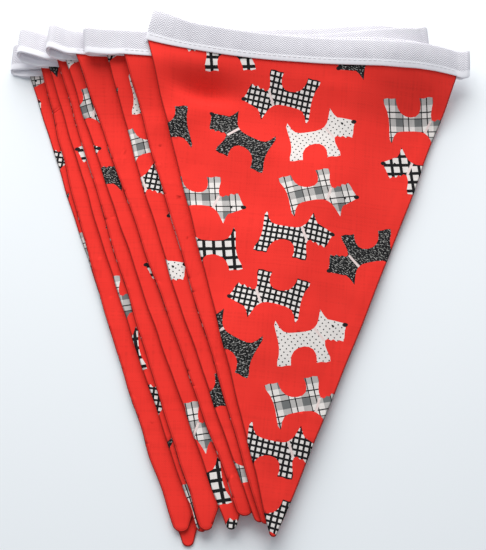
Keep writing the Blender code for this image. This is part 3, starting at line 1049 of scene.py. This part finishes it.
def sewing_lines():
    """Points along the rows of stitches, on both faces of the folded tape, and the edges that join them."""
    points, edges = [], []
    ring, _, thick = tape_section(TAPE_SLOT)
    crown = np.interp(STITCH_UP, (0.0, TAPE_WIDTH / 2), (0.0, CROWN))
    for level, flag in enumerate(FLAGS):
        across = np.arange(SEWN_INSIDE - CORNER, CORNER - SEWN_INSIDE, SEWN_STEP)
        edge = to_world(flag, np.stack((across, tape_edge(level, across)), axis=-1))
        spread, lift = np.array([top_lie(level, place) for place in across]).T
        over = np.array([pushed(level, RIGHT if place > 0 else LEFT, place, 0.0)[0] for place in across])
        plan = edge + tape_width_way(level, across) * (STITCH_UP * spread + over)[:, None]
        base = base_height(level, plan) + lift * STITCH_UP / TAPE_WIDTH
        out = STITCH_THREAD - STITCH_SUNK
        upper, lower = (crown, 0.0) if level % 2 == 0 else (0.0, -crown)
        under = np.maximum(base + lower - out, STITCH_THREAD)
        for height in (base + thick + upper + out, under):
            edges += [(len(points) + i, len(points) + i + 1) for i in range(len(across) - 1)]
            points += [tuple(point) for point in np.column_stack((plan, height)) * MM]
    return points, edges


def stitch_tree(thread):
    """Nodes that set one stitch after another along a line."""
    tree = bpy.data.node_groups.new("stitches", "GeometryNodeTree")
    tree.interface.new_socket("Geometry", in_out="INPUT", socket_type="NodeSocketGeometry")
    tree.interface.new_socket("Geometry", in_out="OUTPUT", socket_type="NodeSocketGeometry")
    sizes = {}
    for name, kind, _ in STITCH_INPUTS:
        socket = tree.interface.new_socket(name, in_out="INPUT", socket_type=f"NodeSocket{kind}")
        sizes[name] = socket.identifier

    def node(kind, joins, **settings):
        made = tree.nodes.new(kind)
        for key, value in settings.items():
            setattr(made, key, value)
        for name, source in joins.items():
            if isinstance(source, bpy.types.NodeSocket):
                tree.links.new(source, made.inputs[name])
            else:
                made.inputs[name].default_value = source
        return made

    given = tree.nodes.new("NodeGroupInput").outputs
    line = node("GeometryNodeMeshToCurve", {"Mesh": given["Geometry"]}).outputs[0]
    spots = node("GeometryNodeCurveToPoints", {"Curve": line, "Length": given["Pitch"]}, mode="LENGTH")
    thick = given["Thread Radius"]
    ball = node("GeometryNodeMeshUVSphere", {
        "Segments": given["Sides"], "Rings": given["Rings"], "Radius": 1.0}).outputs["Mesh"]
    half = node("ShaderNodeMath", {0: given["Length"], 1: 0.5}, operation="MULTIPLY").outputs[0]
    shape = node("ShaderNodeCombineXYZ", {"X": thick, "Y": thick, "Z": half}).outputs[0]
    stitch = node("GeometryNodeTransform", {"Geometry": ball, "Scale": shape}).outputs[0]
    short = node("ShaderNodeMath", {0: 1.0, 1: given["Unevenness"]}, operation="SUBTRACT").outputs[0]
    scale = node("FunctionNodeRandomValue", {
        2: short, 3: 1.0, "Seed": given["Seed"]}, data_type="FLOAT").outputs[1]
    row = node("GeometryNodeInstanceOnPoints", {
        "Points": spots.outputs["Points"], "Instance": stitch,
        "Rotation": spots.outputs["Rotation"], "Scale": scale}).outputs[0]
    real = node("GeometryNodeRealizeInstances", {"Geometry": row}).outputs[0]
    dyed = node("GeometryNodeSetMaterial", {"Geometry": real, "Material": thread}).outputs[0]
    tree.links.new(dyed, tree.nodes.new("NodeGroupOutput").inputs[0])
    return tree, sizes


def make_stitching(thread):
    """All the rows of stitches as one piece of plain mesh."""
    points, edges = sewing_lines()
    guide = bpy.data.meshes.new("sewing_lines")
    guide.from_pydata(points, edges, [])
    liner = bpy.data.objects.new("sewing_lines", guide)
    bpy.context.collection.objects.link(liner)
    tree, sizes = stitch_tree(thread)
    modifier = liner.modifiers.new("stitches", "NODES")
    modifier.node_group = tree
    for name, _, value in STITCH_INPUTS:
        modifier[sizes[name]] = value
    sewn = liner.evaluated_get(bpy.context.evaluated_depsgraph_get())
    mesh = bpy.data.meshes.new_from_object(sewn)
    liner.modifiers.remove(modifier)
    bpy.data.objects.remove(liner)
    mesh.name = "tape_stitching"
    mesh.shade_smooth()
    stitching = bpy.data.objects.new("tape_stitching", mesh)
    bpy.context.collection.objects.link(stitching)
    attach(stitching, "root")


# Floor, camera and light

def make_floor():
    mesh = bpy.data.meshes.new("stage_floor")
    corners = [(x * FLOOR_HALF, y * FLOOR_HALF, FLOOR_LEVEL) for x, y in ((-1, -1), (1, -1), (1, 1), (-1, 1))]
    mesh.from_pydata(corners, [], [(0, 1, 2, 3)])
    mesh.materials.append(plain_dye("stage_white", FLOOR_WHITE, FLOOR_ROUGHNESS))
    floor = bpy.data.objects.new("stage_floor", mesh)
    bpy.context.collection.objects.link(floor)


def add_window():
    """A round light that faces the middle of the pile."""
    lamp = bpy.data.lights.new("window", "AREA")
    lamp.shape = "DISK"
    lamp.size = WINDOW_SIZE
    lamp.energy = WINDOW_POWER
    lamp.color = WINDOW_COLOUR
    light = bpy.data.objects.new("window", lamp)
    bpy.context.collection.objects.link(light)
    light.location = WINDOW_AT
    way = -np.array(WINDOW_AT)
    tilt = math.atan2(math.hypot(way[0], way[1]), -way[2])
    light.rotation_euler = (tilt, 0.0, math.atan2(way[0], -way[1]) + math.pi)


def set_camera():
    lens = bpy.data.cameras.new("camera")
    lens.sensor_fit = "VERTICAL"
    lens.sensor_height = FILM_HEIGHT
    lens.lens = LENS_LENGTH
    camera = bpy.data.objects.new("camera", lens)
    camera.location = CAMERA_AT
    camera.rotation_euler = (CAMERA_TILT, 0.0, 0.0)
    bpy.context.collection.objects.link(camera)
    bpy.context.scene.camera = camera


def set_light():
    add_window()
    world = bpy.data.worlds.new("room_light")
    world.use_nodes = True
    background = world.node_tree.nodes["Background"]
    background.inputs["Color"].default_value = ROOM_COLOUR
    background.inputs["Strength"].default_value = ROOM_STRENGTH
    bpy.context.scene.world = world
    bpy.context.scene.view_settings.view_transform = "Standard"


def main():
    set_camera()
    set_light()
    make_floor()
    patterns = (ground_pattern, tweed_pattern, small_check_pattern, pin_dot_pattern, gingham_pattern,
                plaid_pattern, black_pattern, collar_pattern)
    cotton = [print_dye(f"cotton_{name}", pattern) for name, pattern in zip(FILLS, patterns)]
    for level in range(len(FLAGS)):
        make_flag(level, cotton)
    make_stitching(thread_dye())
    make_tape(herringbone_dye())


main()
